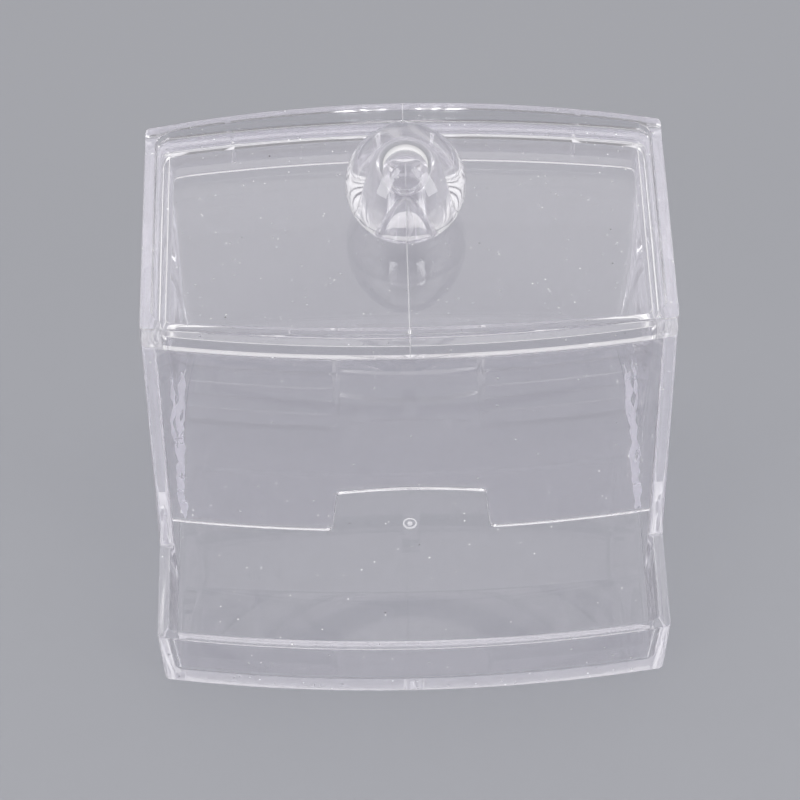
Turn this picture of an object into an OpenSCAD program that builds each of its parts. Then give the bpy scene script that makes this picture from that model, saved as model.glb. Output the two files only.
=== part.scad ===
// Cotton swab dispenser: a clear moulded hopper with a bowed front panel, an open tray in front,
// and a lift-off lid with a ball knob. Millimetres, +Z up, front towards -Y,
// origin at the middle of the footprint on the table.

/* [Lid] */
// Width of the lid
lid_w = 95; // [80:0.5:120]
// Depth of the lid at its corners, front to back
lid_d = 50.8; // [42:0.2:70]
// How far the front and back edges bow out at the middle
lid_bow = 4.2; // [2:0.1:8]
// Height of the lid's rim at its corners
lid_edge_h = 5; // [4:0.1:8]
// How much higher the rim stands at the middle of its long sides
lid_crown = 1.3; // [0.4:0.1:3]
// Width of the rim's top face
rim_w = 2; // [1.4:0.1:3.5]
// Radius of the cove between the rim and the plate
cove_r = 1.2; // [0.4:0.1:1.4]
// Height of the plate's top face over the lid's lower edge
pan_floor_h = 3.6; // [2.4:0.1:3.8]
// Thickness of the lid's plate
plate_t = 2.4; // [1.6:0.1:3]
// Rounding of the lid's upright corners
lid_corner_r = 1; // [0.5:0.1:2.5]

/* [Plug under the lid] */
// How far the plug ring reaches into the hopper
plug_h = 4; // [2:0.1:6]
// Wall of the plug ring
plug_wall = 1.3; // [1:0.1:2.5]
// Gap between the plug and the hopper's walls
plug_gap = 0.4; // [0.3:0.05:0.8]
// Rounding of the plug's upright corners
plug_corner_r = 2.5; // [1.8:0.1:5]
// Rounding of the corners inside the plug ring
plug_inner_corner_r = 1.4; // [1:0.1:4]
// Radius of the small centring ribs on the plug
rib_r = 0.45; // [0.3:0.05:0.8]
// How far a rib stands out of the plug
rib_proud = 0.2; // [0.1:0.05:0.25]
// Distance between the ribs on the long sides
rib_pitch = 31.5; // [20:0.5:36]
// Distance from the plug's lower edge up to the ribs' lower ends
rib_lift = 1.6; // [0.2:0.1:1.8]

/* [Knob] */
// Diameter of the ball
ball_dia = 21.8; // [17:0.2:28]
// Diameter of the flat foot that the ball stands on
foot_dia = 16; // [12:0.2:16.6]
// How far the knob stands behind the lid's middle
knob_back = 3.4; // [-6:0.2:6]
// Diameter of the post that stands on the lid inside the ball
post_dia = 6.6; // [4:0.1:7.4]
// Gap between the post and the bore in the ball
post_gap = 1.2; // [0.3:0.1:1.6]
// Plastic left between the bore's round end and the top of the ball
bore_cover = 4.5; // [2:0.1:8]
// Distance from the end of the post to the end of the bore
post_clear = 5.3; // [1:0.1:7]

/* [Hopper] */
// Height of the hopper, from the table to the lid
body_h = 66.9; // [50:0.1:90]
// How far the lid overhangs the hopper all round
lid_overhang = 0.15; // [0:0.05:1]
// Wall at the top of the hopper
wall_t = 2.4; // [1.8:0.1:3]
// Lean of the hopper's outer side and back faces
outer_draft = 0.4; // [0:0.1:1]
// Lean of the hopper's inner side and back faces
inner_draft = 0.9; // [0.4:0.1:1.5]
// Thickness of the floor
floor_t = 2.4; // [1.6:0.1:4]
// How much lower the floor lies behind the front panel
floor_step = 0.25; // [0.1:0.05:0.8]

/* [Tray] */
// Height of the tray's walls above the table
tray_h = 13.5; // [9:0.5:20]
// How far the tray reaches in front of the hopper at its corners
tray_reach = 22.4; // [14:0.2:36]
// How far the tray's front bows out at the middle
tray_bow = 4.1; // [2:0.1:8]
// Wall at the top of the tray
tray_wall = 2; // [1.5:0.1:3]
// Lean of the tray's outer faces
tray_outer_draft = 3.6; // [1:0.1:6]
// Lean of the tray's inner faces
tray_inner_draft = 5.8; // [3:0.1:8]

/* [Front panel] */
// Thickness of the panel
panel_t = 2.1; // [1.5:0.1:3]
// Height of the panel's lower edge above the table
panel_gap = 20.2; // [16:0.1:28]
// Width of the finger notch at the panel's lower edge
notch_w = 29.6; // [20:0.2:44]
// Height of the notch at its corners
notch_h = 10.2; // [6:0.2:18]
// How much higher the notch is at its middle
notch_rise = 1.3; // [0.5:0.1:3]
// Lean of the notch's sides
notch_lean = 6; // [0:0.5:12]

/* [Joint details] */
// Radius of the cement beads along the panel's ends
bead_r = 0.9; // [0.5:0.1:1.5]
// How far the middle of a bead lies inside the wall and the panel that it joins
bead_sink = 0.2; // [0.1:0.05:0.3]
// Distance from the lid's plug down to the top of a bead
bead_clear = 1.5; // [1:0.1:5]
// Diameter of the moulding gate's dimple under the floor
gate_dia = 2.6; // [2:0.1:5]
// Depth of that dimple
gate_depth = 0.5; // [0.3:0.1:0.8]
// Diameter of the gate's stub inside the dimple
stub_dia = 1; // [0.6:0.1:1.6]
// Distance of the stub's cut end from the table
stub_inset = 0.2; // [0.1:0.05:0.25]

/* [Hidden] */
$fn = 96;
// Segments of the long, shallow bows
bow_fn = 1440;
// Segments of a bow and of a corner in the lid's outline
bow_steps = 24;
corner_steps = 6;
// Overshoot of cutting shapes past the faces that they open
over = 1;
// How far the hopper's hollow runs into the tray's, so that no skin is left between them
hollow_overlap = 0.1;

// Radius of an arc with a given half chord and rise
function bow_radius(half_chord, rise) = (half_chord * half_chord + rise * rise) / (2 * rise);

// Hopper outline at the top
half_w = lid_w / 2 - lid_overhang;
lid_bow_r = bow_radius(lid_w / 2, lid_bow);
hopper_r = lid_bow_r - lid_overhang;
inner_half_w = half_w - wall_t;

// Places along Y: the footprint runs from the tray's front to the lid's back
total_d = tray_reach + tray_bow + lid_d + lid_bow - lid_overhang;
tray_front_y = -total_d / 2;
lid_front_y = tray_front_y + tray_bow + tray_reach - lid_overhang;
lid_mid_y = lid_front_y + lid_d / 2;
lid_back_y = lid_front_y + lid_d;
// Axes of the bows
front_axis_y = lid_front_y - lid_bow + lid_bow_r;
back_axis_y = lid_back_y + lid_bow - lid_bow_r;

// Tray outline at its top
tray_half_w = half_w - (body_h - tray_h) * tan(outer_draft);
tray_bow_r = bow_radius(tray_half_w, tray_bow);
tray_axis_y = tray_front_y + tray_bow_r;
tray_back_r = hopper_r - (body_h - tray_h) * tan(outer_draft);

// Lid heights
lid_top = body_h + lid_edge_h + lid_crown;
plate_top = body_h + pan_floor_h;
plate_low = plate_top - plate_t;
crown_r = bow_radius(lid_w / 2, lid_crown);
// The plug clears the thicker of the hopper's wall and its front panel
plug_inset = lid_overhang + max(wall_t, panel_t) + plug_gap;
plug_bottom = body_h - plug_h;

// Knob
ball_r = ball_dia / 2;
knob_y = lid_mid_y + knob_back;
// The ball's middle, over the foot that is cut flat on the plate
ball_z = plate_top + sqrt(ball_r * ball_r - foot_dia * foot_dia / 4);
bore_r = post_dia / 2 + post_gap;
bore_end = ball_z + ball_r - bore_cover;
post_end = bore_end - post_clear;

// Panel
notch_top_half = notch_w / 2 - notch_h * tan(notch_lean);
notch_r = bow_radius(notch_top_half, notch_rise);
bead_top = plug_bottom - bead_clear;

// Prism across the whole depth, between two side planes that lean in towards the bottom
module side_planes(z0, z1, half_top, z_top, lean) {
    half0 = half_top - (z_top - z0) * tan(lean);
    half1 = half_top - (z_top - z1) * tan(lean);
    translate([0, total_d, 0])
        rotate([90, 0, 0])
            linear_extrude(2 * total_d)
                polygon([[-half0, z0], [half0, z0], [half1, z1], [-half1, z1]]);
}

// Upright round with its axis at y, which leans in towards the bottom
module bow_cone(y, z0, z1, r_top, z_top, lean) {
    translate([0, y, z0])
        cylinder(h = z1 - z0,
                 r1 = r_top - (z_top - z0) * tan(lean),
                 r2 = r_top - (z_top - z1) * tan(lean),
                 $fn = bow_fn);
}

// Everything behind the arc of the hopper's front, moved in by inset
module behind_front(z0, z1, inset) {
    translate([0, front_axis_y, z0])
        cylinder(h = z1 - z0, r = lid_bow_r - inset, $fn = bow_fn);
}

module hopper_outer() {
    intersection() {
        side_planes(tray_h, body_h, half_w, body_h, outer_draft);
        behind_front(tray_h, body_h, lid_overhang);
        bow_cone(back_axis_y, tray_h, body_h, hopper_r, body_h, outer_draft);
    }
}

module base_outer() {
    intersection() {
        side_planes(0, tray_h, tray_half_w, tray_h, tray_outer_draft);
        bow_cone(tray_axis_y, 0, tray_h, tray_bow_r, tray_h, tray_outer_draft);
        bow_cone(back_axis_y, 0, tray_h, tray_back_r, tray_h, tray_outer_draft);
    }
}

// The inside of the hopper, between its side walls and in front of its back wall
module hopper_inner(z0, z1) {
    intersection() {
        side_planes(z0, z1, inner_half_w, body_h, inner_draft);
        bow_cone(back_axis_y, z0, z1, hopper_r - wall_t, body_h, inner_draft);
    }
}

// The hopper's hollow, open at the front, where it just runs into the tray's. Its floor is lower behind
// the panel's inner face.
module hopper_hollow() {
    low_floor = floor_t - floor_step;
    top = body_h + over;
    difference() {
        intersection() {
            hopper_inner(low_floor, top);
            behind_front(low_floor - over, top + over, lid_overhang - hollow_overlap);
        }
        difference() {
            translate([-lid_w / 2, tray_front_y, 0])
                cube([lid_w, total_d, floor_t]);
            behind_front(-over, floor_t + over, lid_overhang + panel_t);
        }
    }
}

// The inside of the tray, in front of the hopper's side walls
module tray_inner() {
    top = tray_h + over;
    half_top = tray_half_w - tray_wall + over * tan(tray_inner_draft);
    r_top = tray_bow_r - tray_wall + over * tan(tray_inner_draft);
    difference() {
        intersection() {
            side_planes(floor_t, top, half_top, top, tray_inner_draft);
            bow_cone(tray_axis_y, floor_t, top, r_top, top, tray_inner_draft);
        }
        behind_front(floor_t - over, top + over, lid_overhang);
    }
}

module gate() {
    difference() {
        translate([0, 0, -over])
            cylinder(h = gate_depth + over, d = gate_dia);
        translate([0, 0, stub_inset])
            cylinder(h = gate_depth, d = stub_dia);
    }
}

module body_shell() {
    color([0.91, 0.92, 0.96, 0.35])
    difference() {
        union() {
            hopper_outer();
            base_outer();
        }
        hopper_hollow();
        tray_inner();
        gate();
    }
}

// Outline of the finger notch in the panel's own plane, from its lower edge
module notch_outline() {
    top = notch_h + notch_rise + over;
    intersection() {
        polygon([[-notch_w / 2 - over * tan(notch_lean), -over],
                 [notch_w / 2 + over * tan(notch_lean), -over],
                 [notch_w / 2 - top * tan(notch_lean), top],
                 [-notch_w / 2 + top * tan(notch_lean), top]]);
        translate([0, notch_h + notch_rise - notch_r])
            circle(r = notch_r, $fn = bow_fn);
    }
}

module front_panel() {
    color([0.92, 0.93, 0.96, 0.35])
    difference() {
        intersection() {
            side_planes(panel_gap, body_h, inner_half_w, body_h, inner_draft);
            behind_front(panel_gap, body_h, lid_overhang);
        }
        behind_front(panel_gap - over, body_h + over, lid_overhang + panel_t);
        translate([0, lid_mid_y, panel_gap])
            rotate([90, 0, 0])
                linear_extrude(total_d)
                    notch_outline();
    }
}

// Rounded bead in the right corner between the panel's inner face and the side wall. Over its small
// width the panel's face is flat, and slope is its turn there.
module cement_bead() {
    height = bead_top - panel_gap;
    mid_z = panel_gap + height / 2;
    mid_x = inner_half_w - (body_h - mid_z) * tan(inner_draft);
    face_r = lid_bow_r - lid_overhang - panel_t;
    slope = asin(mid_x / face_r);
    mid_y = front_axis_y - face_r * cos(slope);
    // Wide enough to hold the whole bead
    reach = 4 * bead_r;
    intersection() {
        translate([mid_x + bead_sink, mid_y - bead_sink, mid_z])
            rotate([0, inner_draft, 0])
                cylinder(h = height + 2 * over, r = bead_r, center = true);
        side_planes(panel_gap, bead_top, inner_half_w, body_h, inner_draft);
        translate([mid_x, mid_y, panel_gap])
            rotate([0, 0, slope])
                translate([-reach, 0, -over])
                    cube([2 * reach, reach, height + 2 * over]);
    }
}

module cement_bead_left() {
    color([0.96, 0.96, 0.98, 0.6])
    mirror([1, 0, 0])
        cement_bead();
}

module cement_bead_right() {
    color([0.96, 0.96, 0.98, 0.6])
    cement_bead();
}

// Points along an arc from one angle to another
function arc(centre, r, from, to, steps) =
    [for (i = [0 : steps]) let (a = from + (to - from) * i / steps) centre + r * [cos(a), sin(a)]];

// The same points without the two ends
function arc_middle(centre, r, from, to, steps) =
    let (points = arc(centre, r, from, to, steps)) [for (i = [1 : steps - 1]) points[i]];

// Lid outline moved in by inset, with its upright corners rounded. The corner rounds touch the sides and
// the bows from inside, and turn is the bow's angle at the point where they touch.
module lid_outline(inset, corner_r) {
    r = lid_bow_r - inset;
    cx = lid_w / 2 - inset - corner_r;
    turn = asin(cx / (r - corner_r));
    drop = (r - corner_r) * cos(turn);
    front_cy = front_axis_y - drop;
    back_cy = back_axis_y + drop;
    polygon(concat(
        arc_middle([0, front_axis_y], r, -90 - turn, -90 + turn, bow_steps),
        arc([cx, front_cy], corner_r, -90 + turn, 0, corner_steps),
        arc([cx, back_cy], corner_r, 0, 90 - turn, corner_steps),
        arc_middle([0, back_axis_y], r, 90 - turn, 90 + turn, bow_steps),
        arc([-cx, back_cy], corner_r, 90 + turn, 180, corner_steps),
        arc([-cx, front_cy], corner_r, 180, 270 - turn, corner_steps)));
}

// Cross-section of the pan's hollow from the middle outwards: upright, then coved into the plate
module pan_section(reach) {
    difference() {
        translate([0, plate_top])
            square([reach, lid_top - plate_top + over]);
        difference() {
            translate([reach - cove_r, plate_top - over])
                square([cove_r + over, cove_r + over]);
            translate([reach - cove_r, plate_top + cove_r])
                circle(r = cove_r);
        }
    }
}

// Hollow of the lid's pan: the same section turned about each bow's axis and run along each side
module pan_hollow() {
    side_reach = lid_w / 2 - rim_w;
    intersection() {
        translate([0, lid_mid_y + lid_d, 0])
            rotate([90, 0, 0])
                linear_extrude(2 * lid_d) {
                    pan_section(side_reach);
                    mirror([1, 0])
                        pan_section(side_reach);
                }
        translate([0, front_axis_y, 0])
            rotate_extrude($fn = bow_fn)
                pan_section(lid_bow_r - rim_w);
        translate([0, back_axis_y, 0])
            rotate_extrude($fn = bow_fn)
                pan_section(lid_bow_r - rim_w);
    }
}

// One upright rib, down from the lid's underside
module plug_rib(x, y) {
    translate([x, y, plug_bottom + rib_lift])
        cylinder(h = plug_h - rib_lift, r = rib_r);
}

// Ribs round the plug: three on each long side and one at the middle of each short side
module plug_ribs() {
    r = lid_bow_r - plug_inset;
    sink = rib_r - rib_proud;
    for (x = [-rib_pitch, 0, rib_pitch]) {
        rise = sqrt(r * r - x * x) - sink;
        plug_rib(x, front_axis_y - rise);
        plug_rib(x, back_axis_y + rise);
    }
    for (side = [-1, 1])
        plug_rib(side * (lid_w / 2 - plug_inset - sink), lid_mid_y);
}

// The lid's slab with its crowned top
module lid_slab() {
    intersection() {
        translate([0, 0, body_h])
            linear_extrude(lid_edge_h + lid_crown)
                lid_outline(0, lid_corner_r);
        translate([0, lid_mid_y + lid_d, lid_top - crown_r])
            rotate([90, 0, 0])
                cylinder(h = 2 * lid_d, r = crown_r, $fn = bow_fn);
    }
}

// The plug as a solid block with its ribs
module plug_block() {
    translate([0, 0, plug_bottom])
        linear_extrude(plug_h)
            lid_outline(plug_inset, plug_corner_r);
    plug_ribs();
}

// The hollow inside the plug ring, up to the plate's underside
module plug_hollow() {
    translate([0, 0, plug_bottom - over])
        linear_extrude(plate_low - plug_bottom + over)
            lid_outline(plug_inset + plug_wall, plug_inner_corner_r);
}

// The post that the ball is cemented over, rooted in the plate
module lid_post() {
    root = plate_top - plate_t / 2;
    translate([0, knob_y, root])
        cylinder(h = post_end - root, d = post_dia);
}

module lid() {
    color([0.90, 0.91, 0.95, 0.35])
    union() {
        difference() {
            union() {
                lid_slab();
                plug_block();
            }
            pan_hollow();
            plug_hollow();
        }
        lid_post();
    }
}

// A ball with a flat foot, and a round-ended bore that goes over the lid's post
module knob() {
    color([0.94, 0.95, 0.97, 0.4])
    translate([0, knob_y, 0])
        difference() {
            translate([0, 0, ball_z])
                sphere(r = ball_r);
            translate([0, 0, plate_top - ball_dia])
                cylinder(h = ball_dia, d = ball_dia + over);
            translate([0, 0, plate_top - over])
                cylinder(h = bore_end - bore_r - plate_top + over, r = bore_r);
            translate([0, 0, bore_end - bore_r])
                sphere(r = bore_r);
        }
}

body_shell();
front_panel();
cement_bead_left();
cement_bead_right();
lid();
knob();
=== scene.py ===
import math

import bmesh
import bpy
from mathutils import Matrix, Vector


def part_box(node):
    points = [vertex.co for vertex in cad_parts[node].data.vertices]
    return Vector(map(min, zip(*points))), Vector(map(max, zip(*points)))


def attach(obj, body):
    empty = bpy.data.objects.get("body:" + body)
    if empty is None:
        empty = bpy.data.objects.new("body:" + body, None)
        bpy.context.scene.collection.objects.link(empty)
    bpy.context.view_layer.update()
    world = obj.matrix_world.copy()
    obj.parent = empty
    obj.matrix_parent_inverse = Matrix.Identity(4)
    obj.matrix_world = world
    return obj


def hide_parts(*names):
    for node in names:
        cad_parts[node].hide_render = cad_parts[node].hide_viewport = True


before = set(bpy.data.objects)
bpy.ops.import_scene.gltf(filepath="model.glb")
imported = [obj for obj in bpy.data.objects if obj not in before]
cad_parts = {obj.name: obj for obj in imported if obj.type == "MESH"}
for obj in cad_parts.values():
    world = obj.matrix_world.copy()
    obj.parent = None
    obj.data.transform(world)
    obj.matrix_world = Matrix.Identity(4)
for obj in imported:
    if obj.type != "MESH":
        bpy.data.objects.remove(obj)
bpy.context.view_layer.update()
mm = 0.001  # pieces are modelled in millimetres and shrunk to metres when they are finished
hair = 0.01  # millimetres within which two places count as one
loose = 0.1  # the same, where nothing else is near
past = 1.0  # how far a cutter reaches past what it cuts
smoothAngle = 32  # degrees; flatter edges are shaded smooth
print("frame loaded:", sorted(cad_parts))


def boxMm(nodeName):
    low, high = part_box(nodeName)
    return low / mm, high / mm


def tanDeg(angle):
    return math.tan(math.radians(angle))


def clamp(value, low=0.0, high=1.0):
    return max(low, min(high, value))


def mix(a, b, share):
    return a + (b - a) * share


def follow(value, anchors):
    # moves a value along straight stretches between (from, to) pairs
    for (a, b), (c, d) in zip(anchors, anchors[1:]):
        if value <= c:
            return mix(b, d, (value - a) / (c - a))
    return anchors[-1][1] + value - anchors[-1][0]


# Working with one mesh at a time

def only(obj):
    if bpy.context.object and bpy.context.object.mode != "OBJECT":
        bpy.ops.object.mode_set(mode="OBJECT")
    bpy.ops.object.select_all(action="DESELECT")
    obj.select_set(True)
    bpy.context.view_layer.objects.active = obj


def edit(obj):
    only(obj)
    bpy.ops.object.mode_set(mode="EDIT")


def place(obj, name, location=(0, 0, 0), scale=(1, 1, 1)):
    # a fresh primitive at its size and place, with both in its mesh
    obj.name = name
    obj.data.name = name
    obj.location = location
    obj.scale = scale
    only(obj)
    bpy.ops.object.transform_apply(location=True, rotation=True, scale=True)
    return obj


def addBox(name, low, high):
    low, high = Vector(low), Vector(high)
    bpy.ops.object.select_all(action="DESELECT")
    bpy.ops.mesh.primitive_cube_add(size=1)
    return place(bpy.context.object, name, (low + high) / 2, high - low)


def addUpright(name, x, y, radius, low, high, sides=32):
    bpy.ops.object.select_all(action="DESELECT")
    bpy.ops.mesh.primitive_cylinder_add(vertices=sides, radius=radius, depth=high - low)
    return place(bpy.context.object, name, (x, y, (low + high) / 2))


def pickFaces(obj, test):
    bpy.ops.mesh.select_mode(type="FACE")
    bpy.ops.mesh.select_all(action="DESELECT")
    shape = bmesh.from_edit_mesh(obj.data)
    for face in shape.faces:
        face.select_set(bool(test(face.calc_center_median(), face.normal)))
    bmesh.update_edit_mesh(obj.data)


def pickEdges(obj, test):
    # test gets the edge's middle, its direction and the normals of its two faces
    bpy.ops.mesh.select_mode(type="EDGE")
    bpy.ops.mesh.select_all(action="DESELECT")
    shape = bmesh.from_edit_mesh(obj.data)
    for edge in shape.edges:
        a, b = edge.verts[0].co, edge.verts[1].co
        normals = [face.normal for face in edge.link_faces]
        edge.select_set(bool(test((a + b) / 2, (b - a).normalized(), normals)))
    bmesh.update_edit_mesh(obj.data)


def roundEdges(obj, radius, steps, test):
    pickEdges(obj, test)
    bpy.ops.mesh.bevel(offset=radius, segments=steps, profile=0.5, affect="EDGES", clamp_overlap=False)


def isSharp(middle, along, normals, least=40):
    return len(normals) == 2 and normals[0].angle(normals[1], 0) > math.radians(least)


def isUpright(along):
    return abs(along.z) > 0.99


def near(value, target, room=0.05):
    return abs(value - target) < room


def extrudeBy(x, y, z):
    bpy.ops.mesh.extrude_region_move(TRANSFORM_OT_translate={"value": (x, y, z)})


def cutAt(axis, places):
    # new edges all round the mesh, where a plane crosses it
    normal = Vector((axis == "x", axis == "y", axis == "z"))
    for value in places:
        bpy.ops.mesh.select_all(action="SELECT")
        bpy.ops.mesh.bisect(plane_co=normal * value, plane_no=normal)


def reshape(obj, rule):
    # moves every corner of the mesh by a rule
    only(obj)
    for corner in obj.data.vertices:
        corner.co = rule(*corner.co)
    obj.data.update()


def applyModifier(obj, kind, **settings):
    only(obj)
    modifier = obj.modifiers.new(kind.lower(), kind)
    for key, value in settings.items():
        setattr(modifier, key, value)
    bpy.ops.object.modifier_apply(modifier=modifier.name)


def combine(obj, other, operation):
    # joins or cuts with another solid, which is then removed
    applyModifier(obj, "BOOLEAN", object=other, operation=operation, solver="EXACT")
    bpy.data.objects.remove(other)


def finishPiece(obj, bodyName, nodeName, material):
    only(obj)
    obj.scale = (mm, mm, mm)
    bpy.ops.object.transform_apply(location=True, rotation=True, scale=True)
    bpy.ops.object.shade_smooth_by_angle(angle=math.radians(smoothAngle))
    obj.data.materials.clear()
    obj.data.materials.append(material)
    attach(obj, bodyName)
    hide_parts(nodeName)
    print("made", obj.name, len(obj.data.polygons), "faces")
    return obj


# Bows: every front line and back line of the dispenser follows the lid's arc

bows = {
    "rise": 4.2,          # how far the arc stands out at the middle
    "columns": 2.0,       # width of the upright strips that follow it
}
lidHigh = boxMm("lid")[1]
bodyHigh = boxMm("body_shell")[1]
panelLow, panelHigh = boxMm("front_panel")
knobLow, knobHigh = boxMm("knob")
halfLid = lidHigh.x
knobY = (knobLow.y + knobHigh.y) / 2
bowRadius = (halfLid ** 2 + bows["rise"] ** 2) / (2 * bows["rise"])


def sag(x):
    return bowRadius - math.sqrt(bowRadius ** 2 - x * x)


def bowed(x, y, frontY, backY):
    # full forward bow before frontY, full backward bow behind backY
    share = clamp((y - frontY) / (backY - frontY))
    return y + (1 - 2 * share) * sag(x)


def columnPlaces(reach):
    count = int(reach / bows["columns"])
    return [i * reach / count for i in range(-count + 1, count)]


# Finishes

def srgb(code):
    parts = [int(code[i:i + 2], 16) / 255 for i in (1, 3, 5)]
    return tuple(p / 12.92 if p <= 0.04045 else ((p + 0.055) / 1.055) ** 2.4 for p in parts) + (1.0,)


def node(tree, kind, settings=None, **links):
    # one node with its settings, input values and links; a socket among the settings is linked too, and
    # link names have _ for spaces
    made = tree.nodes.new(kind)
    for key, value in (settings or {}).items():
        if isinstance(value, bpy.types.NodeSocket):
            tree.links.new(value, made.inputs[key])
        elif isinstance(key, str) and key in made.bl_rna.properties:
            setattr(made, key, value)
        else:
            made.inputs[key].default_value = value
    for key, source in links.items():
        tree.links.new(source, made.inputs[key.replace("_", " ")])
    return made


def newMaterial(name):
    material = bpy.data.materials.new(name)
    material.use_nodes = True
    material.node_tree.nodes.clear()
    return material, material.node_tree


# Clear polystyrene, injection moulded and polished: water-clear with a high gloss that varies slowly with
# the mould's polish. A faint cloud inside turns long ways through it pale violet, so that the walls glow
# where they are seen end on. Dust and a little grit lie on it. Lamps and the floor's own light pass
# straight through, as they do through thin clear walls, with a little lost at each surface.
clearPlastic = {
    "tint": "#FEFDFF",
    "ior": 1.59,
    "gloss": (0.008, 0.03),        # least and greatest roughness
    "glossPatch": 9.0,             # size of the patches in which it varies, in millimetres
    "glossRange": (0.3, 0.7),      # stretch of the patches' noise that is spread over it
    "cloud": "#F8F6FF",
    "cloudDensity": 10.0,          # per metre
    # specks as spacing and radius in millimetres, then the share of places that have one; real dust is
    # finer, and is drawn coarse enough to show
    "dust": (2.6, 0.24, 0.5),
    "dustTint": "#FFFFFF",
    "grit": (6.5, 0.26, 0.3),
    "gritTint": "#4E4C50",
    "speckCover": 1.0,             # how opaque a speck is
    "haze": 0.0,                   # how much of the light the whole surface scatters
    "weldLine": None,              # half width in millimetres, and how opaque it is
    # radius of a torn gate, radius and half width of the ring round it and the height that both end below,
    # in millimetres, and how opaque they are
    "gateScar": None,
    "lightLoss": "#FAFAFB",        # what a surface lets straight through
}


def addSpecks(tree, coords, spacing, radius, share):
    # small round specks with soft rims, one in some cells of a loose grid
    grid = node(tree, "ShaderNodeTexVoronoi", {"Scale": 1 / (spacing * mm)}, Vector=coords)
    disc = node(tree, "ShaderNodeMapRange", {
        "From Min": 0.5 * radius / spacing, "From Max": radius / spacing, "To Min": 1.0, "To Max": 0.0},
        Value=grid.outputs["Distance"])
    lot = node(tree, "ShaderNodeSeparateColor", None, Color=grid.outputs["Color"])
    drawn = node(tree, "ShaderNodeMath", {"operation": "LESS_THAN", 1: share}, Value=lot.outputs["Red"])
    specks = node(tree, "ShaderNodeMath", {
        "operation": "MULTIPLY", 0: disc.outputs["Result"], 1: drawn.outputs["Value"]})
    return specks.outputs["Value"]


def addWeldLine(tree, coords, halfWidth, cover):
    # a hairline with soft sides where two streams of plastic met, across the middle of the piece
    spot = node(tree, "ShaderNodeSeparateXYZ", None, Vector=coords)
    side = node(tree, "ShaderNodeMath", {"operation": "ABSOLUTE"}, Value=spot.outputs["X"])
    line = node(tree, "ShaderNodeMapRange", {
        "From Min": 0.4 * halfWidth * mm, "From Max": halfWidth * mm, "To Min": cover, "To Max": 0.0},
        Value=side.outputs["Value"])
    return line.outputs["Result"]


def addGateScar(tree, coords, stub, ring, halfRing, height, cover):
    # torn, frosted plastic under the middle of the piece, and a frosted ring round it
    flat = node(tree, "ShaderNodeVectorMath", {"operation": "MULTIPLY", 0: coords, 1: (1, 1, 0)})
    length = node(tree, "ShaderNodeVectorMath", {"operation": "LENGTH"}, Vector=flat.outputs["Vector"])
    away = length.outputs["Value"]
    middle = node(tree, "ShaderNodeMath", {"operation": "LESS_THAN", 1: stub * mm}, Value=away)
    rim = node(tree, "ShaderNodeMath", {"operation": "COMPARE", 1: ring * mm, 2: halfRing * mm}, Value=away)
    either = node(tree, "ShaderNodeMath", {
        "operation": "MAXIMUM", 0: middle.outputs["Value"], 1: rim.outputs["Value"]})
    spot = node(tree, "ShaderNodeSeparateXYZ", None, Vector=coords)
    under = node(tree, "ShaderNodeMath", {"operation": "LESS_THAN", 1: height * mm}, Value=spot.outputs["Z"])
    frosted = node(tree, "ShaderNodeMath", {
        "operation": "MULTIPLY", 0: either.outputs["Value"], 1: under.outputs["Value"]})
    scar = node(tree, "ShaderNodeMath", {"operation": "MULTIPLY", 0: frosted.outputs["Value"], 1: cover})
    return scar.outputs["Value"]


def makeClearPlastic(name, look):
    material, tree = newMaterial(name)
    coords = node(tree, "ShaderNodeTexCoord").outputs["Object"]
    dust = addSpecks(tree, coords, *look["dust"])
    grit = addSpecks(tree, coords, *look["grit"])
    dusted = node(tree, "ShaderNodeMixRGB", {
        "Color1": srgb(look["tint"]), "Color2": srgb(look["dustTint"])}, Fac=dust)
    colour = node(tree, "ShaderNodeMixRGB", {
        "Color2": srgb(look["gritTint"])}, Fac=grit, Color1=dusted.outputs["Color"])
    specks = node(tree, "ShaderNodeMath", {"operation": "MAXIMUM", 0: dust, 1: grit})
    scatter = node(tree, "ShaderNodeMapRange", {
        "To Min": look["haze"], "To Max": look["speckCover"]}, Value=specks.outputs["Value"])
    cover = scatter.outputs["Result"]
    for key, addMark in (("weldLine", addWeldLine), ("gateScar", addGateScar)):
        if look[key]:
            mark = addMark(tree, coords, *look[key])
            cover = node(tree, "ShaderNodeMath", {"operation": "MAXIMUM", 0: cover, 1: mark}).outputs["Value"]
    clear = node(tree, "ShaderNodeMath", {"operation": "SUBTRACT", 0: 1.0, 1: cover})
    patches = node(tree, "ShaderNodeTexNoise", {
        "Scale": 1 / (look["glossPatch"] * mm), "Detail": 3.0}, Vector=coords)
    (noiseLow, noiseHigh), (glossLow, glossHigh) = look["glossRange"], look["gloss"]
    gloss = node(tree, "ShaderNodeMapRange", {
        "From Min": noiseLow, "From Max": noiseHigh, "To Min": glossLow, "To Max": glossHigh},
        Value=patches.outputs["Fac"])
    shader = node(tree, "ShaderNodeBsdfPrincipled", {"IOR": look["ior"]}, Base_Color=colour.outputs["Color"],
                  Roughness=gloss.outputs["Result"], Transmission_Weight=clear.outputs["Value"])
    straight = node(tree, "ShaderNodeBsdfTransparent", {"Color": srgb(look["lightLoss"])})
    path = node(tree, "ShaderNodeLightPath")
    surface = shader.outputs["BSDF"]
    for ray in ("Is Shadow Ray", "Is Diffuse Ray"):
        mixed = node(tree, "ShaderNodeMixShader", {
            0: path.outputs[ray], 1: surface, 2: straight.outputs["BSDF"]})
        surface = mixed.outputs["Shader"]
    cloud = node(tree, "ShaderNodeVolumePrincipled", {
        "Color": srgb(look["cloud"]), "Density": look["cloudDensity"]})
    node(tree, "ShaderNodeOutputMaterial", None, Surface=surface, Volume=cloud.outputs["Volume"])
    return material


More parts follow.
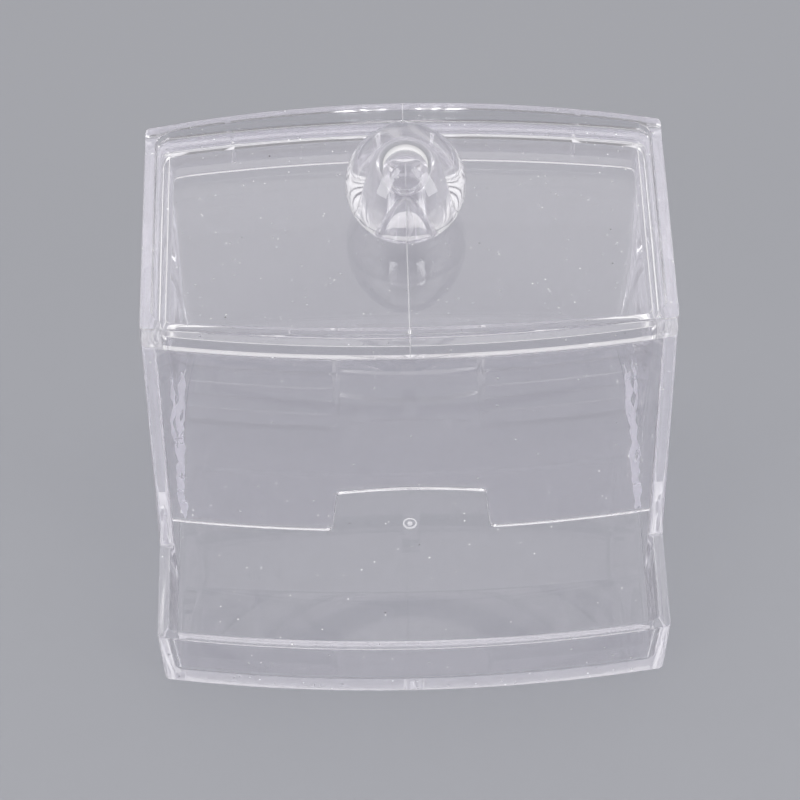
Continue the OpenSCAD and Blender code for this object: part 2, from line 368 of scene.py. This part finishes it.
bodyPlastic = makeClearPlastic("clearPolystyreneBody", dict(
    clearPlastic, gateScar=(0.5, 1.2, 0.15, 0.8, 0.8)))
panelPlastic = makeClearPlastic("clearPolystyrenePanel", dict(
    clearPlastic, cloudDensity=4.0, glossPatch=14.0, dust=(3.6, 0.2, 0.4), grit=(9.0, 0.15, 0.3)))
lidPlastic = makeClearPlastic("clearPolystyreneLid", dict(
    clearPlastic, cloudDensity=8.0, dust=(2.2, 0.2, 0.5), weldLine=(0.12, 0.3)))
ballPlastic = makeClearPlastic("clearPolystyreneBall", dict(
    clearPlastic, cloudDensity=4.0, glossPatch=5.0, dust=(2.0, 0.15, 0.5), grit=(4.0, 0.15, 0.3)))

# Solvent cement, set: a milky, slightly rough skin over a clouded inside
setCement = makeClearPlastic("solventCementSet", dict(
    clearPlastic, tint="#F6F4FC", ior=1.5, gloss=(0.25, 0.4), glossPatch=2.0, cloud="#FFFFFF",
    cloudDensity=2500.0, haze=0.3, dust=(1.2, 0.08, 0.5), grit=(5.0, 0.1, 0.2)))
print("finishes made")


# Body: one moulding with the hopper's side and back walls, the floor and the tray. It is modelled
# straight, along the lines at its middle, and then leaned and bowed into shape.

body = {
    "trayHeight": 13.5,
    "trayFront": -40.675,     # y of the tray's front at its middle
    "hopperFront": -18.375,   # y of the side walls' front edges, before the bow
    "backOut": 40.525,        # y of the back at its middle
    "wall": 2.4,
    "trayWall": 2.0,
    "floor": 2.4,
    "floorDrop": 0.25,        # the floor is lower behind the panel
    "rampStart": -16.3,
    "rampEnd": -15.2,
    "jog": 0.6,               # stretch in which the tray's inside turns into the hopper's
    "outerLean": 0.4,         # degrees
    "innerLean": 0.9,
    "trayOuterLean": 3.6,
    "trayInnerLean": 5.8,
    "outerCorner": 0.8,
    "innerCorner": 1.5,
    "floorFillet": 1.2,
    "footEdge": 0.55,
    "edge": 0.25,
    "frontEdge": 0.7,         # rounding of the side walls' front edges
    "kink": 0.3,              # support on both sides of the line where the walls change their lean
    "backBand": 6.0,          # depth of the stretch at the back that has the back's full bow
    "gateRadius": 1.3,        # dimple under the floor where the plastic was fed in, with the cut stub in it
    "gateDepth": 0.5,
    "stubRadius": 0.5,
    "stubInset": 0.2,
}


def outerHalf(z):
    b = body
    top, tray = bodyHigh.z, b["trayHeight"]
    lean = (top - max(z, tray)) * tanDeg(b["outerLean"]) + max(0, tray - z) * tanDeg(b["trayOuterLean"])
    return bodyHigh.x - lean


def innerHalf(z):
    return bodyHigh.x - body["wall"] - (bodyHigh.z - z) * tanDeg(body["innerLean"])


def trayInnerHalf(z):
    tray = body["trayHeight"]
    return outerHalf(tray) - body["trayWall"] - (tray - z) * tanDeg(body["trayInnerLean"])


def shapeBody(x, y, z):
    b = body
    half, tray = bodyHigh.x, b["trayHeight"]
    straightInner = half - b["wall"]
    # width: the tray's inside in front, the hopper's behind
    share = 1 if z > tray + hair else clamp((y - b["hopperFront"] + b["jog"]) / b["jog"])
    inner = mix(trayInnerHalf(z), innerHalf(z), share)
    width = follow(abs(x), [(0, 0), (straightInner, inner), (half, outerHalf(z))])
    # depth: leaning front and back walls
    outerBack = b["backOut"] - (half - outerHalf(z))
    innerBack = b["backOut"] - b["wall"] - (bodyHigh.z - z) * tanDeg(b["innerLean"])
    down = max(0, tray - z)
    deep = follow(y, [
        (b["trayFront"], b["trayFront"] + down * tanDeg(b["trayOuterLean"])),
        (b["trayFront"] + b["wall"], b["trayFront"] + b["trayWall"] + down * tanDeg(b["trayInnerLean"])),
        (b["hopperFront"] - b["jog"], b["hopperFront"] - b["jog"]),
        (b["rampEnd"], b["rampEnd"]),
        (b["backOut"] - b["wall"], innerBack),
        (b["backOut"], outerBack)])
    # the lower floor behind the panel
    inside = abs(x) < straightInner + hair and y < b["backOut"] - b["wall"] + hair
    drop = 0
    if inside and b["floor"] - hair < z < b["floor"] + b["floorFillet"] + hair:
        ramp = clamp((y - b["rampStart"]) / (b["rampEnd"] - b["rampStart"]))
        drop = b["floorDrop"] * ramp * (1 - (z - b["floor"]) / b["floorFillet"])
    newX = math.copysign(width, x)
    return newX, bowed(newX, deep, b["rampEnd"], b["backOut"] - b["backBand"]), z - drop


def makeBody():
    b = body
    half, top, tray = bodyHigh.x, bodyHigh.z, b["trayHeight"]
    inner = half - b["wall"]
    innerFront, innerBack = b["trayFront"] + b["wall"], b["backOut"] - b["wall"]
    obj = addBox("bodyShell", (-half, b["trayFront"], 0), (half, b["backOut"], tray))
    edit(obj)
    pickFaces(obj, lambda c, n: n.z > 0.9)  # the tray's hollow
    bpy.ops.mesh.inset(thickness=b["wall"])
    extrudeBy(0, 0, b["floor"] - tray)
    cutAt("y", [b["hopperFront"] - b["jog"], b["hopperFront"], b["rampStart"], b["rampEnd"]])
    pickFaces(obj, lambda c, n: n.z > 0.9 and c.z > tray - loose and c.y > b["hopperFront"])
    extrudeBy(0, 0, top - tray)  # the hopper's walls
    roundEdges(obj, b["innerCorner"], 6, lambda m, d, n: isUpright(d) and near(abs(m.x), inner)
               and (near(m.y, innerFront) or near(m.y, innerBack)))
    roundEdges(obj, b["outerCorner"], 5, lambda m, d, n: isUpright(d) and near(abs(m.x), half)
               and (near(m.y, b["trayFront"]) or near(m.y, b["backOut"])))
    roundEdges(obj, b["floorFillet"], 6, lambda m, d, n: isSharp(m, d, n) and near(m.z, b["floor"]))
    roundEdges(obj, b["footEdge"], 4, lambda m, d, n: isSharp(m, d, n) and near(m.z, 0))
    cutAt("z", [tray + b["frontEdge"]])
    roundEdges(obj, b["frontEdge"], 5, lambda m, d, n: isSharp(m, d, n) and isUpright(d)
               and near(m.y, b["hopperFront"]) and m.z > tray + b["frontEdge"])
    roundEdges(obj, b["edge"], 3, lambda m, d, n: isSharp(m, d, n) and m.z > tray - loose)
    cutAt("x", columnPlaces(inner - b["innerCorner"]))
    cutAt("z", [tray - b["kink"], tray + b["kink"]])
    bpy.ops.object.mode_set(mode="OBJECT")
    reshape(obj, shapeBody)
    gate = addUpright("gateCutter", 0, 0, b["gateRadius"], -past, b["gateDepth"])
    stub = addUpright("gateStub", 0, 0, b["stubRadius"], b["stubInset"], b["gateDepth"] + past)
    combine(gate, stub, "DIFFERENCE")
    combine(obj, gate, "DIFFERENCE")
    return finishPiece(obj, "body", "body_shell", bodyPlastic)


makeBody()


# Front panel: a bowed plate cemented between the side walls, with a finger notch at its lower edge

panel = {
    "front": -18.375,     # y of its front face at the middle
    "thickness": 2.1,
    "endGap": 0.06,       # film of air beside the side walls
    "notchHalf": 14.8,    # at the lower edge
    "notchTopHalf": 13.73,
    "notchHeight": 10.2,
    "notchRise": 1.3,     # the notch's top is higher at its middle
    "lipCorner": 1.2,     # rounding where the notch meets the lower edge
    "notchCorner": 0.5,
    "lowerEdge": 0.45,    # rounding of the lower edge, all round the notch
    "edge": 0.2,
    "cutRoom": 1.0,       # distance of the mesh's cuts from its corners
}


def shapePanel(x, y, z):
    p = panel
    top, low = panelHigh.z, panelLow.z
    notchTop = low + p["notchHeight"]
    width = x * (innerHalf(z) - p["endGap"]) / (innerHalf(top) - p["endGap"])
    if abs(x) < p["notchTopHalf"] + 2 * hair and z < notchTop + p["lowerEdge"] + 2 * hair:
        rise = p["notchRise"] * (1 - (x / p["notchTopHalf"]) ** 2)
        z += rise * clamp((z - low) / p["notchHeight"])
    return width, y + sag(width), z


def makePanel():
    p = panel
    half = innerHalf(panelHigh.z) - p["endGap"]
    low, top, back = panelLow.z, panelHigh.z, p["front"] + p["thickness"]
    notchTop = low + p["notchHeight"]
    obj = addBox("frontPanel", (-half, p["front"], low), (half, back, top))
    spread = (p["notchHalf"] - p["notchTopHalf"]) / p["notchHeight"]
    cutter = addBox("notchCutter", (-p["notchTopHalf"], p["front"] - past, low - past),
                    (p["notchTopHalf"], back + past, notchTop))
    edit(cutter)
    pickFaces(cutter, lambda c, n: n.z < -0.9)
    widen = 1 + spread * (p["notchHeight"] + past) / p["notchTopHalf"]
    bpy.ops.transform.resize(value=(widen, 1, 1))
    bpy.ops.object.mode_set(mode="OBJECT")
    combine(obj, cutter, "DIFFERENCE")
    edit(obj)
    roundEdges(obj, p["lipCorner"], 5, lambda m, d, n: abs(d.y) > 0.9 and near(m.z, low)
               and near(abs(m.x), p["notchHalf"]))
    roundEdges(obj, p["notchCorner"], 4, lambda m, d, n: abs(d.y) > 0.9 and near(m.z, notchTop))
    roundEdges(obj, p["lowerEdge"], 5, lambda m, d, n: isSharp(m, d, n) and abs(d.y) < 0.5
               and m.z < notchTop + loose and abs(m.x) < half - loose)
    roundEdges(obj, p["edge"], 3, lambda m, d, n: isSharp(m, d, n)
               and (m.z > top - loose or abs(m.x) > half - loose))
    # level cuts keep the notch's corners local
    cutAt("z", [notchTop + p["notchRise"] + p["cutRoom"], low + p["lipCorner"] + p["cutRoom"]])
    cutAt("x", columnPlaces(half - p["cutRoom"]))
    bpy.ops.object.mode_set(mode="OBJECT")
    reshape(obj, shapePanel)
    return finishPiece(obj, "body", "front_panel", panelPlastic)


makePanel()


# Cement: thin runs that crept from the side walls over the panel's back face and set there. Each run is a
# flat ribbon with rounded edges; it starts at the top and wanders down as its waves say.

cement = {
    "gap": 0.05,           # clear of the panel
    "low": 20.6,           # height of the runs' lower ends
    "rows": 70,
    "sides": 12,
    "waves": ((17.0, 0.3, 0.4), (7.3, 0.13, 2.1), (3.1, 0.05, 4.0)),  # length, height, turn
    "swell": (5.3, 0.35),  # length of the waves in a run's width, and their share of it
    "tip": 0.25,           # width and thickness at a run's ends, as a share of the full ones
    "tipSlope": 12,        # a higher value makes the ends blunter
    "turnStep": 1.3,       # shifts the waves from run to run
    # runs: distance from the wall at the lower and upper end and how late it widens, then the upper end's
    # height, the ribbon's width and its thickness
    "leftRuns": (
        (2.3, 4.2, 1.5, 60.0, 1.0, 0.3),
        (2.2, 2.4, 5.0, 58.5, 0.6, 0.2),
        (2.6, 5.4, 2.6, 60.8, 0.5, 0.2),
    ),
    "rightRuns": (
        (2.5, 6.0, 1.1, 58.0, 1.1, 0.3),
        (3.1, 7.2, 1.5, 60.6, 0.5, 0.2),
        (2.3, 5.2, 1.0, 61.0, 0.5, 0.2),
    ),
}


def makeRun(side, turn, lowReach, topReach, late, top, width, thickness):
    c = cement
    swellLength, swellShare = c["swell"]
    run = addUpright("cementRun", 0, 0, 1, c["low"], top, c["sides"])
    edit(run)
    cutAt("z", [mix(c["low"], top, i / c["rows"]) for i in range(1, c["rows"])])
    bpy.ops.object.mode_set(mode="OBJECT")

    def lay(u, v, z):
        share = clamp((z - c["low"]) / (top - c["low"]))
        waves = sum(h * math.sin(2 * math.pi * z / length + t + turn) for length, h, t in c["waves"])
        reach = mix(lowReach, topReach, share ** late) + waves
        taper = mix(c["tip"], 1, math.sqrt(clamp(c["tipSlope"] * share * (1 - share))))
        swell = 1 + swellShare * math.sin(2 * math.pi * z / swellLength + 2 * turn)
        x = side * (innerHalf(z) - reach + u * width / 2 * taper * swell)
        return x, panel["front"] + panel["thickness"] + sag(x) + c["gap"] + (v + 1) / 2 * thickness * taper, z

    reshape(run, lay)
    return run


def makeCement(side, name, nodeName, runs):
    made = [makeRun(side, cement["turnStep"] * i + side, *run) for i, run in enumerate(runs)]
    for run in made:
        edit(run)
        bpy.ops.mesh.select_all(action="SELECT")
        bpy.ops.mesh.normals_make_consistent(inside=False)
    obj = place(made[0], name)
    for run in made[1:]:
        combine(obj, run, "UNION")
    return finishPiece(obj, "body", nodeName, setCement)


makeCement(-1, "cementRunsLeft", "cement_bead_left", cement["leftRuns"])
makeCement(1, "cementRunsRight", "cement_bead_right", cement["rightRuns"])


# Lid: a plate with a raised rim, a cove inside it, and a plug ring that drops into the hopper

lid = {
    "front": -18.525,       # y of its front and back at the middle
    "back": 40.675,
    "seat": 0.05,           # film of air over the hopper's rim
    "edgeHeight": 5.0,
    "crown": 1.3,           # the rim is higher at the middle of its long sides
    "panFloor": 3.6,        # height of the plate's top face over the lid's lower edge
    "plate": 2.4,
    "rimWidth": 2.0,
    "coveRadius": 1.0,
    "coveSteps": 7,
    "plugDepth": 4.0,
    "plugInset": 2.95,
    "plugWall": 1.3,
    "corner": 1.0,
    "panCorner": 3.0,
    "plugCorner": 2.5,
    "plugInnerCorner": 1.4,
    "edge": 0.3,
    "bowBand": 10.0,        # depth of the stretches at the front and back that have the full bow
    "ribRadius": 0.45,
    "ribSides": 20,
    "ribProud": 0.2,
    "ribSink": 0.3,         # how far the ribs go up into the plate
    "ribPitch": 31.5,
    "ribLift": 1.6,         # the ribs end this far above the plug's lower edge
    "postRadius": 3.3,      # post that the ball is cemented over
    "postEdge": 0.4,
    "postSides": 48,
}


def shapeLid(x, y, z):
    d = lid
    bottom = bodyHigh.z
    plateTop = bottom + d["panFloor"]
    newY = bowed(x, y, d["front"] + d["bowBand"], d["back"] - d["bowBand"])
    share = clamp((z - plateTop - 2 * hair) / (d["edgeHeight"] - d["panFloor"] - d["edge"]))
    inPan = d["front"] + d["rimWidth"] < y < d["back"] - d["rimWidth"] and abs(x) < halfLid - d["rimWidth"]
    if inPan:
        share = share if z > bottom + d["edgeHeight"] - d["edge"] - 2 * hair else 0
    return x, newY, z + d["crown"] * (1 - (x / halfLid) ** 2) * share


def makeLid():
    d = lid
    bottom = bodyHigh.z
    seat, rim = bottom + d["seat"], bottom + d["edgeHeight"]
    plateTop, plugLow = bottom + d["panFloor"], bottom - d["plugDepth"]
    coveTop = plateTop + d["coveRadius"]
    panHalf, plugHalf = halfLid - d["rimWidth"], halfLid - d["plugInset"]
    ringHalf = plugHalf - d["plugWall"]
    obj = addBox("lidPlate", (-halfLid, d["front"], seat), (halfLid, d["back"], rim))
    edit(obj)
    pickFaces(obj, lambda c, n: n.z > 0.9)  # the pan
    bpy.ops.mesh.inset(thickness=d["rimWidth"])
    extrudeBy(0, 0, coveTop - rim)
    pickFaces(obj, lambda c, n: n.z < -0.9)  # the plug ring
    bpy.ops.mesh.inset(thickness=d["plugInset"])
    extrudeBy(0, 0, plugLow - seat)
    bpy.ops.mesh.inset(thickness=d["plugWall"])
    extrudeBy(0, 0, plateTop - d["plate"] - plugLow)
    for half, radius, steps in ((halfLid, d["corner"], 5), (panHalf, d["panCorner"], 8)):
        roundEdges(obj, radius, steps, lambda m, a, n: isUpright(a) and near(abs(m.x), half) and m.z > seat)
    for half, radius, steps in ((plugHalf, d["plugCorner"], 7), (ringHalf, d["plugInnerCorner"], 6)):
        roundEdges(obj, radius, steps, lambda m, a, n: isUpright(a) and near(abs(m.x), half) and m.z < seat)
    pickFaces(obj, lambda c, n: n.z > 0.9 and near(c.z, coveTop))  # the cove, by insets down a quarter round
    turn = math.pi / 2 / d["coveSteps"]
    for i in range(d["coveSteps"]):
        inward = d["coveRadius"] * (math.cos(i * turn) - math.cos((i + 1) * turn))
        down = d["coveRadius"] * (math.sin((i + 1) * turn) - math.sin(i * turn))
        bpy.ops.mesh.inset(thickness=inward, depth=-down)
    roundEdges(obj, d["edge"], 3, isSharp)
    cutAt("x", columnPlaces(ringHalf - d["plugInnerCorner"]))
    bpy.ops.object.mode_set(mode="OBJECT")
    reshape(obj, shapeLid)
    postLow = plateTop - d["plate"] / 2
    post = addUpright("knobPost", 0, knobY, d["postRadius"], postLow, lidHigh.z, d["postSides"])
    edit(post)
    roundEdges(post, d["postEdge"], 4, lambda m, a, n: isSharp(m, a, n) and near(m.z, lidHigh.z))
    combine(obj, post, "UNION")
    ribIn = d["plugInset"] + d["ribRadius"] - d["ribProud"]
    ribSpots = [(side * (halfLid - ribIn), (d["front"] + d["back"]) / 2) for side in (-1, 1)]
    for x in (-d["ribPitch"], 0, d["ribPitch"]):
        ribSpots += [(x, d["front"] + ribIn + sag(x)), (x, d["back"] - ribIn - sag(x))]
    ribLow, ribTop = plugLow + d["ribLift"], seat + d["ribSink"]
    for x, y in ribSpots:
        rib = addUpright("plugRib", x, y, d["ribRadius"], ribLow, ribTop, d["ribSides"])
        combine(obj, rib, "UNION")
    return finishPiece(obj, "lid", "lid", lidPlastic)


makeLid()


# Knob: a ball with a flat foot, and a round-ended bore that goes over the lid's post

knob = {
    "ballRadius": 10.9,
    "segments": 128,
    "rings": 96,
    "seat": 0.04,          # film of air over the plate
    "edge": 0.2,
    "boreRadius": 4.5,
    "boreCover": 4.5,      # plastic between the bore's end and the top of the ball
    "boreSides": 96,
    "boreSteps": 18,
    "boreRound": 0.995,    # rounding of the bore's end, as a share of its radius
    "gateRadius": 0.65,    # mark at the top of the ball, where the plastic was fed in
    "gateDepth": 0.12,
}


def makeKnob():
    k = knob
    foot = knobLow.z + k["seat"]
    bpy.ops.object.select_all(action="DESELECT")
    bpy.ops.mesh.primitive_uv_sphere_add(
        segments=k["segments"], ring_count=k["rings"], radius=k["ballRadius"])
    obj = place(bpy.context.object, "ballKnob", (0, 0, knobHigh.z - k["ballRadius"]))
    edit(obj)
    bpy.ops.mesh.select_all(action="SELECT")
    bpy.ops.mesh.bisect(plane_co=(0, 0, foot), plane_no=(0, 0, 1), use_fill=True, clear_inner=True)
    roundEdges(obj, k["edge"], 3, lambda m, d, n: isSharp(m, d, n) and near(m.z, foot))
    bpy.ops.object.mode_set(mode="OBJECT")
    boreEnd = knobHigh.z - k["boreCover"]
    bore = addUpright("boreCutter", 0, 0, k["boreRadius"], foot - past, boreEnd, k["boreSides"])
    edit(bore)
    roundEdges(bore, k["boreRadius"] * k["boreRound"], k["boreSteps"],
               lambda m, d, n: isSharp(m, d, n) and near(m.z, boreEnd))
    combine(obj, bore, "DIFFERENCE")
    gate = addUpright("gateCutter", 0, 0, k["gateRadius"], knobHigh.z - k["gateDepth"], knobHigh.z + past)
    combine(obj, gate, "DIFFERENCE")
    reshape(obj, lambda x, y, z: (x, y + knobY, z))
    return finishPiece(obj, "lid", "knob", ballPlastic)


makeKnob()


# Studio: a plain pale floor, soft light from above and in front, and the camera

studio = {
    "floor": "#A6A7AD",
    "floorSize": 4,         # metres
    "floorRoughness": 0.9,
    "floorGap": 0.06,       # film of air under the foot, in millimetres
    "sky": "#FFFFFF",
    "skyLow": 0.18,         # brightness away from the lit ceiling
    "skySide": 0.62,        # what pale walls at the left and right add
    "skyHigh": 0.98,        # what the lit ceiling adds at its middle
    "skyElevation": 50,     # of its middle, behind the dispenser
    "skyFade": 2.0,         # a higher value makes it smaller
    # softboxes as azimuth, elevation and distance, then width, height and brightness
    "softboxes": {
        "leftSoftbox": (-48, 32, 1.2, 0.45, 0.85, 3.3),
        "rightSoftbox": (52, 32, 1.2, 0.45, 0.85, 3.3),
    },
}


def makeFloor():
    bpy.ops.object.select_all(action="DESELECT")
    bpy.ops.mesh.primitive_plane_add(size=studio["floorSize"])
    floor = place(bpy.context.object, "studioFloor", (0, 0, -studio["floorGap"] * mm))
    material, tree = newMaterial("paperSweepGrey")
    shader = node(tree, "ShaderNodeBsdfPrincipled", {
        "Base Color": srgb(studio["floor"]), "Roughness": studio["floorRoughness"]})
    node(tree, "ShaderNodeOutputMaterial", None, Surface=shader.outputs["BSDF"])
    floor.data.materials.append(material)


def makeWorld():
    world = bpy.data.worlds.new("studioWorld")
    bpy.context.scene.world = world
    world.use_nodes = True
    tree = world.node_tree
    tree.nodes.clear()
    up = math.radians(studio["skyElevation"])
    ray = node(tree, "ShaderNodeTexCoord")
    facing = node(tree, "ShaderNodeVectorMath", {
        "operation": "DOT_PRODUCT", 0: ray.outputs["Generated"], 1: (0, math.cos(up), math.sin(up))})
    ahead = node(tree, "ShaderNodeMath", {"operation": "MAXIMUM", 1: 0.0}, Value=facing.outputs["Value"])
    fade = node(tree, "ShaderNodeMath", {"operation": "POWER", 1: studio["skyFade"]}, Value=ahead.outputs[0])
    ceiling = node(tree, "ShaderNodeMath", {
        "operation": "MULTIPLY_ADD", 1: studio["skyHigh"], 2: studio["skyLow"]}, Value=fade.outputs[0])
    across = node(tree, "ShaderNodeSeparateXYZ", None, Vector=ray.outputs["Generated"])
    walls = node(tree, "ShaderNodeMath", {
        "operation": "MULTIPLY", 0: across.outputs["X"], 1: across.outputs["X"]})
    glow = node(tree, "ShaderNodeMath", {
        "operation": "MULTIPLY_ADD", 0: walls.outputs[0], 1: studio["skySide"], 2: ceiling.outputs[0]})
    light = node(tree, "ShaderNodeBackground", {"Color": srgb(studio["sky"])}, Strength=glow.outputs[0])
    node(tree, "ShaderNodeOutputWorld", None, Surface=light.outputs["Background"])


def addSoftbox(name, azimuth, elevation, distance, width, height, brightness):
    az, el = math.radians(azimuth), math.radians(elevation)
    away = Vector((math.sin(az) * math.cos(el), -math.cos(az) * math.cos(el), math.sin(el)))
    light = bpy.data.lights.new(name, "AREA")
    light.shape = "RECTANGLE"
    light.size, light.size_y = width, height
    light.energy = brightness * width * height * math.pi
    obj = bpy.data.objects.new(name, light)
    bpy.context.scene.collection.objects.link(obj)
    obj.location = away * distance
    obj.rotation_euler = away.to_track_quat("Z", "Y").to_euler()


camera = {
    "target": (-1.56, 5.675, 30.06),   # millimetres
    "distance": 731,
    "azimuth": -0.82,                  # degrees
    "elevation": 47.52,
    "roll": -0.63,
    "lens": 176,                       # millimetres
    "sensor": 36,
    "nearest": 0.01,                   # metres
}


def makeCamera():
    az, el, roll = (math.radians(camera[key]) for key in ("azimuth", "elevation", "roll"))
    back = Vector((math.sin(az) * math.cos(el), -math.cos(az) * math.cos(el), math.sin(el)))
    right = Vector((math.cos(az), math.sin(az), 0))
    up = back.cross(right)
    turnedRight = right * math.cos(roll) + up * math.sin(roll)
    turnedUp = up * math.cos(roll) - right * math.sin(roll)
    data = bpy.data.cameras.new("photoCamera")
    data.lens = camera["lens"]
    data.sensor_width = camera["sensor"]
    data.clip_start = camera["nearest"]
    obj = bpy.data.objects.new("photoCamera", data)
    bpy.context.scene.collection.objects.link(obj)
    turn = Matrix((turnedRight, turnedUp, back)).transposed()
    spot = (Vector(camera["target"]) + back * camera["distance"]) * mm
    obj.matrix_world = Matrix.Translation(spot) @ turn.to_4x4()
    bpy.context.scene.camera = obj


makeFloor()
makeWorld()
for name, spot in studio["softboxes"].items():
    addSoftbox(name, *spot)
makeCamera()
scene = bpy.context.scene
scene.view_settings.view_transform = "Standard"
scene.cycles.max_bounces = 32  # long enough for the light that runs inside the clear walls
scene.cycles.glossy_bounces = 16
scene.cycles.transmission_bounces = 32
scene.cycles.volume_bounces = 6  # the faint cloud in the plastic hands light on
scene.cycles.transparent_max_bounces = 32
print("studio ready")
